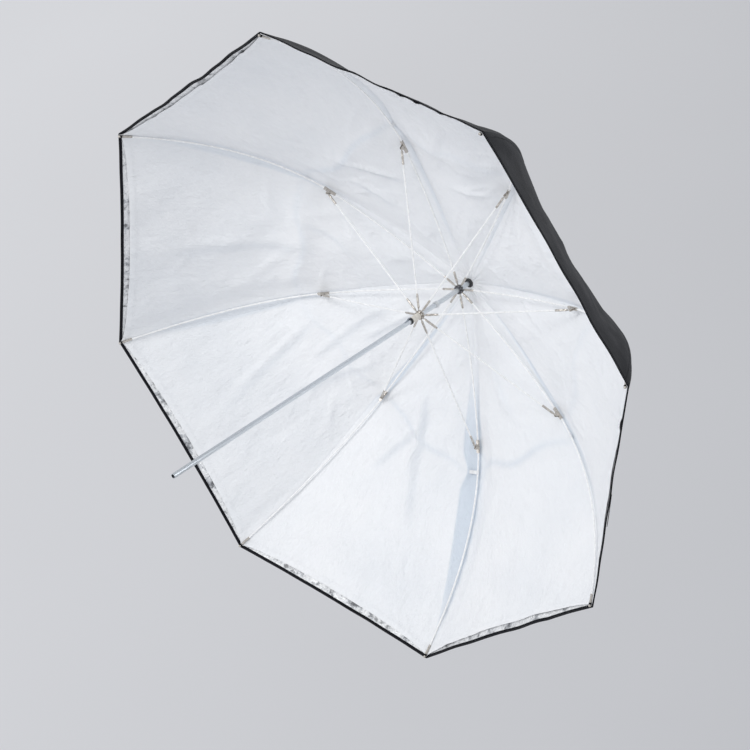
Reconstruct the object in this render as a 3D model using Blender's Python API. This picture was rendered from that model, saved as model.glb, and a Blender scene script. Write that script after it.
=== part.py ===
"""Photographic umbrella, convertible: white shoot-through canopy, removable
black and silver cover, eight flexing ribs, stretchers, sliding runner, spring
catch and a plain aluminium shaft.

Units are metres, +Z up.  The shaft lies along Y.  The origin is the point of
the shaft where a light stand bracket grips it; the bowl opens towards -Y and
the apex is at +Y.

Most of the design is written in "stations" along the shaft: s = 0 is the plane
of the crown pivots, and s grows towards the shaft's open end.
"""
import math

import bmesh
import bpy
from mathutils import Matrix, Vector

# ---------------------------------------------------------------- dimensions
Y_CROWN = 0.480            # where s = 0 lies on the Y axis
N_RIBS = 8
PHASE = math.radians(22.5) # first rib, from +X towards +Z

TUBE_R = 0.0040            # shaft: 8 mm tube
TUBE_WALL = 0.0008
S_TUBE_TOP = -0.0400       # end of the tube under the apex cap
S_TUBE_END = 0.6800        # open end of the tube
RUN_CLEAR = 0.00025        # radial clearance of everything threaded on the tube
TUBE_SIDES = 24

PIVOT_R = 0.0065           # radius of the pivot circles in crown and runner
NOTCH_R = 0.0076           # outer radius of the two notched hubs
NOTCH_H = 0.0070           # their height along the shaft
FLOOR_R = 0.00485          # floor of the slots
SLOT_W = 0.0020
WIRE_R = 0.00045           # ring wire that threads the eyes
GROOVE_H = 0.0015

PIN_R = 0.2655             # joint pin between rib and stretcher, radius
PIN_S = 0.0520             # and station; the runner pivots sit at twice this
RUNNER_S = 2 * PIN_S
TIP_R, TIP_S = 0.5300, 0.2895
JOINT_S = 0.0452           # rib centreline behind the joint pin
FLEX_R = 0.2775            # where the outer half of the rib flexes

ROD_R = 0.0015             # fibreglass rods
FERRULE_R = 0.0019         # crimped metal ends
FERRULE_L = 0.0200
BLADE_T = 0.0012           # flattened eye ends
EYE_R = 0.0015
EYE_HOLE_R = 0.0008

CLIP_L, CLIP_W, CLIP_H = 0.0220, 0.0044, 0.0044
EAR_GAP, EAR_T = 0.0020, 0.0008
EAR_R = 0.0023
JOINT_PIN_R = 0.00055

CLOTH_T = 0.0010           # solid stand-in thickness of each cloth layer
LAYER_GAP = 0.0008         # between white canopy and black cover
CLOTH_APEX_R = 0.0050      # cloth starts here around the shaft
CLOTH_S0 = -0.0292         # station of the white cloth's inner face at the apex
SEAM_OFF = (0.0290, 0.0125, 0.0032)  # cloth clear of the rib at crown, joint, tip
HEM_SCOOP = 0.0200         # how far the white hem curves in at mid-panel
PANEL_SAG = 0.0125         # tension draws each panel in between its ribs
PANEL_GAP = 0.0006         # between neighbouring sectors

CATCH_S0, CATCH_S1 = 0.1308, 0.1440
CATCH_TOP = 0.0073
CATCH_T = 0.0014

FOLD_DEG = 77.6            # travel of each rib at the crown
FLEX_RATIO = -0.455        # how much of it the rib's outer half gives back


# ---------------------------------------------------------------- clean start
for obj in list(bpy.data.objects):
    bpy.data.objects.remove(obj, do_unlink=True)


# ---------------------------------------------------------------- materials
def material(name, colour, roughness, metallic=0.0):
    mat = bpy.data.materials.new(name)
    mat.use_nodes = True
    shader = mat.node_tree.nodes["Principled BSDF"]
    shader.inputs["Base Color"].default_value = (*colour, 1.0)
    shader.inputs["Roughness"].default_value = roughness
    shader.inputs["Metallic"].default_value = metallic
    mat.diffuse_color = (*colour, 1.0)
    return mat


MAT = {
    "tube": material("anodised_aluminium", (0.66, 0.71, 0.75), 0.30, 1.0),
    "dark": material("black_plastic", (0.03, 0.03, 0.035), 0.45),
    "hub": material("dark_hub", (0.10, 0.10, 0.11), 0.40, 0.6),
    "bright": material("nickel", (0.62, 0.58, 0.53), 0.28, 1.0),
    "rod": material("white_fibreglass", (0.88, 0.89, 0.90), 0.35),
    "nylon": material("ivory_nylon", (0.74, 0.70, 0.64), 0.45),
    "clear": material("frosted_ring", (0.90, 0.91, 0.93), 0.30),
    "spring": material("spring_steel", (0.45, 0.50, 0.56), 0.30, 1.0),
    "white_cloth": material("white_nylon_cloth", (0.90, 0.91, 0.93), 0.75),
    "black_cloth": material("black_backed_cloth", (0.035, 0.036, 0.042), 0.70),
}


# ---------------------------------------------------------------- helpers
def collection_link(obj):
    bpy.context.scene.collection.objects.link(obj)
    return obj


def to_mesh(bm, name, smooth=True):
    bmesh.ops.recalc_face_normals(bm, faces=bm.faces)
    mesh = bpy.data.meshes.new(name)
    bm.to_mesh(mesh)
    bm.free()
    if smooth:
        mesh.shade_smooth()
        mesh.set_sharp_from_angle(angle=math.radians(35))
    return mesh


def place(name, mesh, mat, parent=None, location=(0, 0, 0), rotation=(0, 0, 0)):
    """A named sub-part; an object that shares its mesh shares its material."""
    obj = collection_link(bpy.data.objects.new(name, mesh))
    if not mesh.materials:
        mesh.materials.append(MAT[mat])
    obj.parent = parent
    obj.location = location
    obj.rotation_euler = rotation
    return obj


def pivot(name, location, rotation=(0, 0, 0), parent=None):
    obj = collection_link(bpy.data.objects.new(name, None))
    obj.empty_display_size = 0.01
    obj.parent = parent
    obj.location = location
    obj.rotation_euler = rotation
    return obj


def boolean(base, tool, operation):
    """Base mesh combined with a tool mesh, as a new mesh."""
    a = collection_link(bpy.data.objects.new("base", base))
    b = collection_link(bpy.data.objects.new("tool", tool))
    mod = a.modifiers.new("cut", "BOOLEAN")
    mod.operation = operation
    mod.solver = "EXACT"
    mod.object = b
    bpy.context.view_layer.update()
    graph = bpy.context.evaluated_depsgraph_get()
    out = bpy.data.meshes.new_from_object(a.evaluated_get(graph))
    for obj in (a, b):
        bpy.data.objects.remove(obj, do_unlink=True)
    bm = bmesh.new()
    bm.from_mesh(out)
    bmesh.ops.remove_doubles(bm, verts=bm.verts, dist=0.000002)
    bmesh.ops.dissolve_degenerate(bm, dist=0.000001, edges=bm.edges)
    return to_mesh(bm, base.name)


def ring_turn(name, profile, sides=TUBE_SIDES, offset=0.5):
    """Closed (radius, station) outline turned about the shaft, as one ring."""
    bm = bmesh.new()
    rings = []
    for k in range(sides):
        a = 2 * math.pi * (k + offset) / sides
        rings.append([
            bm.verts.new((r * math.cos(a), Y_CROWN - s, r * math.sin(a)))
            for r, s in profile
        ])
    n = len(profile)
    for k in range(sides):
        here, there = rings[k], rings[(k + 1) % sides]
        for j in range(n):
            bm.faces.new((here[j], here[(j + 1) % n],
                          there[(j + 1) % n], there[j]))
    return to_mesh(bm, name)


def solid_turn(name, profile, sides=TUBE_SIDES, offset=0.5):
    """Open (radius, station) outline that starts and ends on the axis."""
    bm = bmesh.new()
    first = bm.verts.new((0, Y_CROWN - profile[0][1], 0))
    last = bm.verts.new((0, Y_CROWN - profile[-1][1], 0))
    rings = []
    for k in range(sides):
        a = 2 * math.pi * (k + offset) / sides
        rings.append([
            bm.verts.new((r * math.cos(a), Y_CROWN - s, r * math.sin(a)))
            for r, s in profile[1:-1]
        ])
    for k in range(sides):
        here, there = rings[k], rings[(k + 1) % sides]
        bm.faces.new((first, here[0], there[0]))
        for j in range(len(here) - 1):
            bm.faces.new((here[j], here[j + 1], there[j + 1], there[j]))
        bm.faces.new((here[-1], last, there[-1]))
    return to_mesh(bm, name)


def box(name, lo, hi):
    bm = bmesh.new()
    bmesh.ops.create_cube(bm, size=1.0)
    size = [b - a for a, b in zip(lo, hi)]
    mid = [(a + b) / 2 for a, b in zip(lo, hi)]
    bm.transform(Matrix.Translation(mid) @ Matrix.Diagonal((*size, 1.0)))
    return to_mesh(bm, name, smooth=False)


def rod_along(bm, stations, sides=6):
    """Rod whose line lies in the local XY plane.  Each station holds the
    centre (x, y), its direction angle, the half height in the plane and the
    half width across it."""
    rings = []
    for (x, y), heading, high, wide in stations:
        normal = (-math.sin(heading), math.cos(heading))
        ring = []
        for k in range(sides):
            a = 2 * math.pi * (k + 0.5) / sides
            c, z = math.cos(a), math.sin(a)
            ring.append(bm.verts.new((x + normal[0] * high * c,
                                      y + normal[1] * high * c, wide * z)))
        rings.append(ring)
    for here, there in zip(rings, rings[1:]):
        for k in range(sides):
            j = (k + 1) % sides
            bm.faces.new((here[k], here[j], there[j], there[k]))
    bm.faces.new(rings[0][::-1])
    bm.faces.new(rings[-1])


def across_pin(name, x, y, radius, half_width, sides=8):
    """Round bar across the rib plane."""
    bm = bmesh.new()
    bmesh.ops.create_cone(bm, cap_ends=True, segments=sides, radius1=radius,
                          radius2=radius, depth=2 * half_width)
    bm.transform(Matrix.Translation((x, y, 0)))
    return to_mesh(bm, name)


# ---------------------------------------------------------------- rib curve
# The rib plane holds radius r and station s.  The inner half runs from the
# crown pivot to the flex point behind the joint, the outer half to the tip.
def bezier(p0, p1, p2, p3, t):
    u = 1 - t
    return tuple(u * u * u * a + 3 * u * u * t * b + 3 * u * t * t * c
                 + t * t * t * d for a, b, c, d in zip(p0, p1, p2, p3))


def bezier_heading(p0, p1, p2, p3, t):
    u = 1 - t
    dr, ds = (3 * u * u * (b - a) + 6 * u * t * (c - b) + 3 * t * t * (d - c)
              for a, b, c, d in zip(p0, p1, p2, p3))
    return math.atan2(ds, dr)


def arm(point, slope_deg, length):
    a = math.radians(slope_deg)
    return (point[0] + length * math.cos(a), point[1] + length * math.sin(a))


EYE = (PIVOT_R, 0.0)
KNEE = (FLEX_R, JOINT_S + (FLEX_R - PIN_R) * math.tan(math.radians(16.5)))
TIP = (TIP_R, TIP_S)
INNER = (EYE, arm(EYE, 3.5, 0.090), arm(KNEE, 196.5, 0.090), KNEE)
OUTER = (KNEE, arm(KNEE, 21.0, 0.125), arm(TIP, 240.0, 0.115), TIP)


def rib_point(t):
    """t in 0..1 on the inner half, 1..2 on the outer half."""
    half = INNER if t <= 1 else OUTER
    u = t if t <= 1 else t - 1
    return bezier(*half, u), bezier_heading(*half, u)


def smooth(x):
    x = min(max(x, 0.0), 1.0)
    return x * x * (3 - 2 * x)


def cloth_profile(layer, steps_in=4, steps_out=6):
    """(r, s) of the cloth along a seam, from the apex to the tip.
    layer is the distance outside the white cloth's inner face."""
    out = [(CLOTH_APEX_R, CLOTH_S0 - layer), (0.0110, CLOTH_S0 + 0.0004 - layer)]
    ts = [k / steps_in for k in range(1, steps_in)]
    ts += [1 + k / steps_out for k in range(0, steps_out + 1)]
    for t in ts:
        (r, s), heading = rib_point(t)
        if abs(t - 1) < 1e-9:
            heading = math.radians(19.0)
        if t <= 1:
            off = SEAM_OFF[0] + (SEAM_OFF[1] - SEAM_OFF[0]) * t
        else:
            off = SEAM_OFF[1] + (SEAM_OFF[2] - SEAM_OFF[1]) * smooth(t - 1)
        off += layer
        out.append((r + math.sin(heading) * off, s - math.cos(heading) * off))
    return out


# ---------------------------------------------------------------- shaft group
root = pivot("shaft", (0, 0, 0))
bore = TUBE_R + RUN_CLEAR

tube = ring_turn("shaft_tube", [
    (TUBE_R, S_TUBE_TOP), (TUBE_R, S_TUBE_END),
    (TUBE_R - TUBE_WALL, S_TUBE_END), (TUBE_R - TUBE_WALL, S_TUBE_TOP)])
slot = box("slot", (-CATCH_T / 2 - 0.0003, Y_CROWN - CATCH_S1 - 0.0005, 0.0015),
           (CATCH_T / 2 + 0.0003, Y_CROWN - CATCH_S0 + 0.0005, 0.0060))
place("shaft_tube", boolean(tube, slot, "DIFFERENCE"), "tube", root)


def notched_hub(name, s0):
    """Hub with a wire groove round it and one slot for each eye."""
    h, g = NOTCH_H / 2, GROOVE_H / 2
    hub = ring_turn(name, [
        (bore, s0 - h), (NOTCH_R - 0.0005, s0 - h), (NOTCH_R, s0 - h + 0.0005),
        (NOTCH_R, s0 - g), (PIVOT_R - 0.0006, s0 - g),
        (PIVOT_R - 0.0006, s0 + g), (NOTCH_R, s0 + g),
        (NOTCH_R, s0 + h - 0.0005), (NOTCH_R - 0.0005, s0 + h), (bore, s0 + h)],
        sides=32, offset=0.5)
    bm = bmesh.new()
    for k in range(N_RIBS):
        a = PHASE + k * 2 * math.pi / N_RIBS
        made = bmesh.ops.create_cube(bm, size=1.0)["verts"]
        length = NOTCH_R + 0.002 - FLOOR_R
        turn = Matrix.Rotation(-a, 4, "Y")
        shift = Matrix.Translation((FLOOR_R + length / 2, Y_CROWN - s0, 0))
        bmesh.ops.transform(
            bm, verts=made,
            matrix=turn @ shift @ Matrix.Diagonal(
                (length, NOTCH_H + 0.004, SLOT_W, 1.0)))
    return boolean(hub, to_mesh(bm, "slots", smooth=False), "DIFFERENCE")


def ring_wire(name, s0):
    outline = [(PIVOT_R + WIRE_R * math.cos(a), s0 + WIRE_R * math.sin(a))
               for a in (2 * math.pi * (k + 0.5) / 6 for k in range(6))]
    return ring_turn(name, outline, sides=24, offset=0.0)


place("crown_notch", notched_hub("crown_notch", 0.0), "hub", root)
place("crown_ring_wire", ring_wire("crown_ring_wire", 0.0), "bright", root)
place("apex_washer", ring_turn("apex_washer", [
    (bore, -0.0288), (0.0074, -0.0288), (0.0078, -0.0282), (0.0078, -0.0262),
    (0.0064, -0.0246), (bore, -0.0246)]), "dark", root)
place("apex_cap", solid_turn("apex_cap", [
    (0, -0.0405), (bore, -0.0405), (bore, -0.0338), (0.0082, -0.0338),
    (0.0086, -0.0344), (0.0084, -0.0362), (0.0066, -0.0378),
    (0.0062, -0.0440), (0.0046, -0.0462), (0, -0.0466)]), "dark", root)
place("stop_ring", ring_turn("stop_ring", [
    (bore, 0.0580), (0.0050, 0.0580), (0.0054, 0.0585), (0.0054, 0.0645),
    (0.0050, 0.0650), (bore, 0.0650)]), "clear", root)

# ---------------------------------------------------------------- runner
runner = pivot("runner", (0, Y_CROWN - RUNNER_S, 0))


def on_runner(name, mesh, mat):
    return place(name, mesh, mat, runner, (0, -(Y_CROWN - RUNNER_S), 0))


low = RUNNER_S + NOTCH_H / 2 + 0.0003
on_runner("runner_notch", notched_hub("runner_notch", RUNNER_S), "bright")
on_runner("runner_ring_wire", ring_wire("runner_ring_wire", RUNNER_S), "bright")
on_runner("runner_sleeve", ring_turn("runner_sleeve", [
    (bore, low), (0.0056, low), (0.0054, low + 0.0010), (0.0052, low + 0.0180),
    (0.0050, low + 0.0185), (bore, low + 0.0185)]), "nylon")
on_runner("runner_collar", ring_turn("runner_collar", [
    (bore, low + 0.0188), (0.0054, low + 0.0188), (0.0058, low + 0.0193),
    (0.0058, low + 0.0217), (0.0054, low + 0.0222), (bore, low + 0.0222)]),
    "dark")

# ---------------------------------------------------------------- spring catch
catch_pivot = pivot("spring_catch_pivot", (0, Y_CROWN - CATCH_S0, TUBE_R))
bm = bmesh.new()
outline = [(CATCH_S0, 0.0010), (CATCH_S0, CATCH_TOP - 0.0006),
           (CATCH_S0 + 0.0006, CATCH_TOP), (CATCH_S0 + 0.0026, CATCH_TOP),
           (CATCH_S1, TUBE_R - 0.0004), (CATCH_S1, 0.0010)]
sides = [[bm.verts.new((x, CATCH_S0 - s, z - TUBE_R)) for s, z in outline]
         for x in (-CATCH_T / 2, CATCH_T / 2)]
bm.faces.new(sides[0][::-1])
bm.faces.new(sides[1])
for j in range(len(outline)):
    k = (j + 1) % len(outline)
    bm.faces.new((sides[0][j], sides[0][k], sides[1][k], sides[1][j]))
place("spring_catch", to_mesh(bm, "spring_catch", smooth=False), "spring",
      catch_pivot)


# ---------------------------------------------------------------- ribs
def local(point, base):
    """Rib-plane point as local (x, y): x outwards, y towards the apex."""
    return (point[0] - base[0], base[1] - point[1])


def eye_end(direction, sign=1):
    """Stations of a flattened eye and its crimped ferrule, starting at the eye
    centre (0, 0) and going along `direction`."""
    c, s = math.cos(direction), math.sin(direction)
    out = []
    for x, high, wide in (
            (-EYE_R, 0.0005, BLADE_T / 2), (-0.8 * EYE_R, 0.62 * EYE_R, BLADE_T / 2),
            (-0.3 * EYE_R, EYE_R, BLADE_T / 2), (0.6 * EYE_R, EYE_R, BLADE_T / 2),
            (0.0046, EYE_R, BLADE_T / 2), (0.0062, FERRULE_R, FERRULE_R),
            (0.0062 + FERRULE_L, FERRULE_R, FERRULE_R),
            (0.0062 + FERRULE_L + 0.0004, ROD_R, ROD_R)):
        out.append(((x * c, x * s), direction, high / math.cos(math.pi / 6),
                    wide / math.cos(math.pi / 6)))
    return out


def pierced(mesh, x, y, radius):
    return boolean(mesh, across_pin("hole", x, y, radius, 0.004), "DIFFERENCE")


# inner half: eye and ferrule at the crown, rod to just short of the knee
bm = bmesh.new()
start = -bezier_heading(*INNER, 0.0)
stations = eye_end(start)
for k in range(3, 21, 2):
    (x, y), heading = local(bezier(*INNER, k / 20), EYE), \
        -bezier_heading(*INNER, k / 20)
    if x > stations[-1][0][0] + 0.004:
        stations.append(((x, y), heading, ROD_R, ROD_R))
end, heading = local(KNEE, EYE), -bezier_heading(*INNER, 1.0)
stations.append(((end[0] - 0.0019 * math.cos(heading),
                  end[1] - 0.0019 * math.sin(heading)), heading, ROD_R, ROD_R))
rod_along(bm, stations)
rib_inner_mesh = pierced(to_mesh(bm, "rib_inner"), 0, 0, EYE_HOLE_R)

# outer half: domed root at the knee, rod, small metal tip
bm = bmesh.new()
stations = []
heading = -bezier_heading(*OUTER, 0.0)
for x, high in ((-ROD_R, 0.0004), (-0.72 * ROD_R, 0.7 * ROD_R), (0.0, ROD_R)):
    stations.append(((x * math.cos(heading), x * math.sin(heading)), heading,
                     high, high))
for k in range(1, 10):
    t = k / 10
    stations.append((local(bezier(*OUTER, t), KNEE),
                     -bezier_heading(*OUTER, t), ROD_R, ROD_R))
end, heading = local(TIP, KNEE), -bezier_heading(*OUTER, 1.0)
for x, high in ((-0.0142, ROD_R), (-0.0138, 0.0018), (-0.0040, 0.0018),
                (-0.0034, 0.0012), (-0.0020, 0.0012), (-0.0014, 0.0019),
                (0.0006, 0.0021), (0.0020, 0.0010)):
    stations.append(((end[0] + x * math.cos(heading),
                      end[1] + x * math.sin(heading)), heading, high, high))
rod_along(bm, stations)
rib_outer_mesh = to_mesh(bm, "rib_outer")

# stretcher: from the joint pin (its origin) to the eye in the runner
PIN = (PIN_R, PIN_S)
RUNNER_EYE = (PIVOT_R, RUNNER_S)
to_runner = local(RUNNER_EYE, PIN)
stretch_len = math.hypot(*to_runner)
stretch_dir = math.atan2(to_runner[1], to_runner[0])
bm = bmesh.new()
pin_end = eye_end(stretch_dir)
run_end = [((to_runner[0] - x, to_runner[1] - y), d, high, wide)
           for (x, y), d, high, wide in eye_end(stretch_dir)][::-1]
rod_along(bm, pin_end + run_end)
stretcher_mesh = pierced(to_mesh(bm, "stretcher"), 0, 0, EYE_HOLE_R)
stretcher_mesh = pierced(stretcher_mesh, *to_runner, EYE_HOLE_R)

# joint clip: channel folded round the rib, two ears and the rivet
t_pin = 0.955
clip_at, clip_slope = rib_point(t_pin)
for _ in range(40):
    clip_at, clip_slope = rib_point(t_pin)
    t_pin += (PIN_R - clip_at[0]) * 3.0
slope = -clip_slope
centre = local(clip_at, EYE)
pin_xy = local(PIN, EYE)


def turned(mesh, x, y, angle):
    mesh.transform(Matrix.Translation((x, y, 0)) @ Matrix.Rotation(angle, 4, "Z"))
    return mesh


def channel_outline():
    a, c = CLIP_W / 2, CLIP_H / 2
    chamfer = 0.0009
    return [(-c, -a), (c - chamfer, -a), (c, -a + chamfer), (c, a - chamfer),
            (c - chamfer, a), (-c, a)]


bm = bmesh.new()
ends = [[bm.verts.new((x, y, z)) for y, z in channel_outline()]
        for x in (-CLIP_L / 2, CLIP_L / 2)]
bm.faces.new(ends[0][::-1])
bm.faces.new(ends[1])
for j in range(6):
    k = (j + 1) % 6
    bm.faces.new((ends[0][j], ends[0][k], ends[1][k], ends[1][j]))
clip_mesh = turned(to_mesh(bm, "joint_clip", smooth=False), *centre, slope)
for side in (-1, 1):
    z0 = side * (EAR_GAP / 2 + EAR_T / 2)
    bm = bmesh.new()
    reach = math.hypot(pin_xy[0] - centre[0], pin_xy[1] - centre[1])
    outline = [(-0.0048, -0.0020), (0.0048, -0.0020)]
    for k in range(7):
        a = -math.pi * k / 6
        outline.append((EAR_R * math.cos(a), -reach + EAR_R * math.sin(a)))
    plates = [[bm.verts.new((x, y, z0 + dz)) for x, y in outline]
              for dz in (-EAR_T / 2, EAR_T / 2)]
    bm.faces.new(plates[0][::-1])
    bm.faces.new(plates[1])
    for j in range(len(outline)):
        k = (j + 1) % len(outline)
        bm.faces.new((plates[0][j], plates[0][k], plates[1][k], plates[1][j]))
    lean = math.atan2(pin_xy[1] - centre[1], pin_xy[0] - centre[0]) + math.pi / 2
    ear = turned(to_mesh(bm, "ear", smooth=False), *centre, lean)
    clip_mesh = boolean(clip_mesh, ear, "UNION")
clip_mesh = boolean(
    clip_mesh, across_pin("rivet", *pin_xy, JOINT_PIN_R, EAR_GAP / 2 + EAR_T + 0.0004, 8),
    "UNION")
bm = bmesh.new()
bmesh.ops.create_cone(bm, cap_ends=True, segments=8, radius1=ROD_R + 0.00042,
                      radius2=ROD_R + 0.00042, depth=CLIP_L + 0.004)
bm.transform(Matrix.Rotation(math.pi / 2, 4, "Y"))
way = turned(to_mesh(bm, "way"), *centre, slope)
clip_mesh = boolean(clip_mesh, way, "DIFFERENCE")


# ---------------------------------------------------------------- cloth
def sector(name, layer, scoop):
    """Cloth of half a panel each side of one rib, creased along the seam.
    Local frame: x outwards, y towards the apex, origin at the knee."""
    inner = cloth_profile(layer)
    outer = cloth_profile(layer + CLOTH_T)
    half = math.pi / N_RIBS
    bm = bmesh.new()

    def row(profile, side, cut):
        """Seam line (side 0) or mid-panel line (side -1 or 1)."""
        pts = []
        last = len(profile) - 1
        for k, (r, s) in enumerate(profile):
            x, z = r, 0.0
            if side:
                before, after = profile[max(k - 1, 0)], profile[min(k + 1, last)]
                lean = math.atan2(after[1] - before[1], after[0] - before[0])
                sag = PANEL_SAG * math.sin(math.pi * min(r / TIP_R, 1.0) ** 1.3)
                r -= sag * math.sin(lean) / math.cos(half)
                s += sag * math.cos(lean)
                x = r * math.cos(half) ** 2
                z = side * (r * math.cos(half) * math.sin(half))
                gap = PANEL_GAP / 2
                x += gap * math.sin(half)
                z -= side * gap * math.cos(half)
            pts.append((x, s, z))
        if side and cut:
            # draw the end in along the mid-panel line
            a, b = Vector(pts[-1]), Vector(pts[-2])
            pts[-1] = tuple(a + (b - a).normalized() * cut)
        return [bm.verts.new((x - KNEE[0], KNEE[1] - s, z)) for x, s, z in pts]

    lay_in = [row(inner, side, scoop) for side in (-1, 0, 1)]
    lay_out = [row(outer, side, scoop) for side in (-1, 0, 1)]
    n = len(inner)
    for lay in (lay_in, lay_out):
        for c in range(2):
            for j in range(n - 1):
                bm.faces.new((lay[c][j], lay[c][j + 1],
                              lay[c + 1][j + 1], lay[c + 1][j]))
    for c in (0, 2):
        for j in range(n - 1):
            bm.faces.new((lay_in[c][j], lay_in[c][j + 1],
                          lay_out[c][j + 1], lay_out[c][j]))
    for c in range(2):
        for j in (0, n - 1):
            bm.faces.new((lay_in[c][j], lay_in[c + 1][j],
                          lay_out[c + 1][j], lay_out[c][j]))
    bmesh.ops.triangulate(bm, faces=bm.faces)
    return to_mesh(bm, name, smooth=False)


canopy_mesh = sector("canopy_panel", 0.0, HEM_SCOOP)
cover_mesh = sector("cover_panel", CLOTH_T + LAYER_GAP, 0.0)

# ---------------------------------------------------------------- assembly
knee_xy = local(KNEE, EYE)
for i in range(N_RIBS):
    angle = PHASE + i * 2 * math.pi / N_RIBS
    n = i + 1
    fold = pivot(f"rib_{n}_fold",
                 (PIVOT_R * math.cos(angle), Y_CROWN, PIVOT_R * math.sin(angle)),
                 (0, -angle, 0), root)
    place(f"rib_inner_{n}", rib_inner_mesh, "rod", fold)
    place(f"joint_clip_{n}", clip_mesh, "bright", fold)
    flex = pivot(f"rib_{n}_flex", (*knee_xy, 0), parent=fold)
    place(f"rib_outer_{n}", rib_outer_mesh, "rod", flex)
    place(f"canopy_panel_{n}", canopy_mesh, "white_cloth", flex)
    place(f"cover_panel_{n}", cover_mesh, "black_cloth", flex)
    joint = pivot(f"stretcher_{n}_pivot", (*pin_xy, 0), parent=fold)
    place(f"stretcher_{n}", stretcher_mesh, "rod", joint)

# closing strap: a short tape sewn to the cover's hem, lying along the panel
STRAP_RIB = 8              # the sector that carries it
STRAP_W, STRAP_L, STRAP_T = 0.016, 0.055, 0.0009
STRAP_AT = 0.80            # along the half hem, from the tip to mid-panel
profile = cloth_profile(2 * CLOTH_T + LAYER_GAP)
half = math.pi / N_RIBS
(r0, s0), (r1, s1) = profile[-2], profile[-1]


def on_panel(r, s, v):
    """Point of the flat half panel, v from 0 at the seam to 1 at mid-panel."""
    mid = Vector((r * math.cos(half) ** 2, 0, r * math.cos(half) * math.sin(half)))
    flat = Vector((r, 0, 0)).lerp(mid, v)
    return Vector((flat.x - KNEE[0], KNEE[1] - s, flat.z))


hem = on_panel(r1, s1, STRAP_AT)
up_panel = (on_panel(r0, s0, STRAP_AT) - hem).normalized()
along = (on_panel(r1, s1, 1.0) - on_panel(r1, s1, 0.0)).normalized()
out = along.cross(up_panel).normalized()
if out.x < 0:
    out, along = -out, -along
bm = bmesh.new()
made = bmesh.ops.create_cube(bm, size=1.0)["verts"]
centre = hem + up_panel * (STRAP_L / 2 + 0.001) + out * (STRAP_T / 2 + 0.0004)
basis = Matrix((along, up_panel, out)).transposed().to_4x4()
bm.transform(Matrix.Translation(centre) @ basis
             @ Matrix.Diagonal((STRAP_W, STRAP_L, STRAP_T, 1.0)))
place("cover_strap", to_mesh(bm, "cover_strap", smooth=False), "black_cloth",
      bpy.data.objects[f"rib_{STRAP_RIB}_flex"])
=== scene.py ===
import math

import bmesh
import bpy
import numpy as np
from mathutils import Matrix, Vector

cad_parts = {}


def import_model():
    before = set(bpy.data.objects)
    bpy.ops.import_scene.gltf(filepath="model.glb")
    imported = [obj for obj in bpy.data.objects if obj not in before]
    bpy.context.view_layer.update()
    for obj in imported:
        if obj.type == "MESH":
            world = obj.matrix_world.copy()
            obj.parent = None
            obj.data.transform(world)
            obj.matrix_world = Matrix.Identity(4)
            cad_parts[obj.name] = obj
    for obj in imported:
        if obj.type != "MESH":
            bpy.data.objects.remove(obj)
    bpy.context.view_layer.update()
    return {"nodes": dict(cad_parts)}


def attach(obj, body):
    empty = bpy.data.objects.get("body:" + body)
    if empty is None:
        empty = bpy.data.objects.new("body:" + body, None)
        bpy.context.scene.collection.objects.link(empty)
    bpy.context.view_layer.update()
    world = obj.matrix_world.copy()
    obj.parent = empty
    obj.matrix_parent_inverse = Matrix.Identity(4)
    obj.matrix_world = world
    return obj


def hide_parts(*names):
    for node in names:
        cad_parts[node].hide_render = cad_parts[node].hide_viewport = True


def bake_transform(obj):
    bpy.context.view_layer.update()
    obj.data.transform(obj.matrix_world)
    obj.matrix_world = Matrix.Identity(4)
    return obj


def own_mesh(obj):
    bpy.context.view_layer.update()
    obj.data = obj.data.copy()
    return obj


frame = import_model()
SCENE = bpy.context.scene

# ------------------------------------------------------------------ dimensions
# The same numbers as the CAD source: stations s run along the shaft from the
# plane of the crown pivots, r is the radius, all in metres.
Y_CROWN = 0.480
N = 8
STEP = 2 * math.pi / N
HALF = math.pi / N
PHI = [math.radians(22.5) + k * STEP for k in range(N)]
PIVOT_R = 0.0065
PIN = (0.2655, 0.0520)
RUNNER_EYE = (0.0065, 0.1040)
TIP = (0.5300, 0.2895)
KNEE = (0.2775, 0.0452 + 0.0120 * math.tan(math.radians(16.5)))
ROD_R, FERRULE_R, FERRULE_L, BLADE_T, EYE_R = 0.0015, 0.0019, 0.0200, 0.0012, 0.0015
CLOTH_S0 = -0.0292
SEAM_OFF = (0.0290, 0.0125, 0.0032)
SAG = 0.0190
SCOOP = 0.050              # white hem drawn in at mid-panel, as a share of the outer half


def arm(p, slope, length):
    a = math.radians(slope)
    return (p[0] + length * math.cos(a), p[1] + length * math.sin(a))


EYE = (PIVOT_R, 0.0)
INNER = (EYE, arm(EYE, 3.5, 0.090), arm(KNEE, 196.5, 0.090), KNEE)
OUTER = (KNEE, arm(KNEE, 21.0, 0.125), arm(TIP, 240.0, 0.115), TIP)


def bez(p, t):
    t = np.asarray(t, float)
    u = 1 - t
    return tuple(u**3 * a + 3 * u * u * t * b + 3 * u * t * t * c + t**3 * d
                 for a, b, c, d in zip(*p))


def bez_heading(p, t):
    t = np.asarray(t, float)
    u = 1 - t
    dr, ds = (3 * u * u * (b - a) + 6 * u * t * (c - b) + 3 * t * t * (d - c)
              for a, b, c, d in zip(*p))
    return np.arctan2(ds, dr)


def rib(t):
    """(r, s, heading) of the rib's centreline, t 0..1 inner half, 1..2 outer."""
    t = np.asarray(t, float)
    ti, to = np.clip(t, 0, 1), np.clip(t - 1, 0, 1)
    a, b = bez(INNER, ti), bez(OUTER, to)
    ha, hb = bez_heading(INNER, ti), bez_heading(OUTER, to)
    inner = t <= 1
    h = np.where(inner, ha, hb)
    near = np.abs(t - 1)
    h = np.where(near < 0.06, np.radians(19.0) * (1 - near / 0.06)
                 + h * near / 0.06, h)
    return np.where(inner, a[0], b[0]), np.where(inner, a[1], b[1]), h


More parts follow.
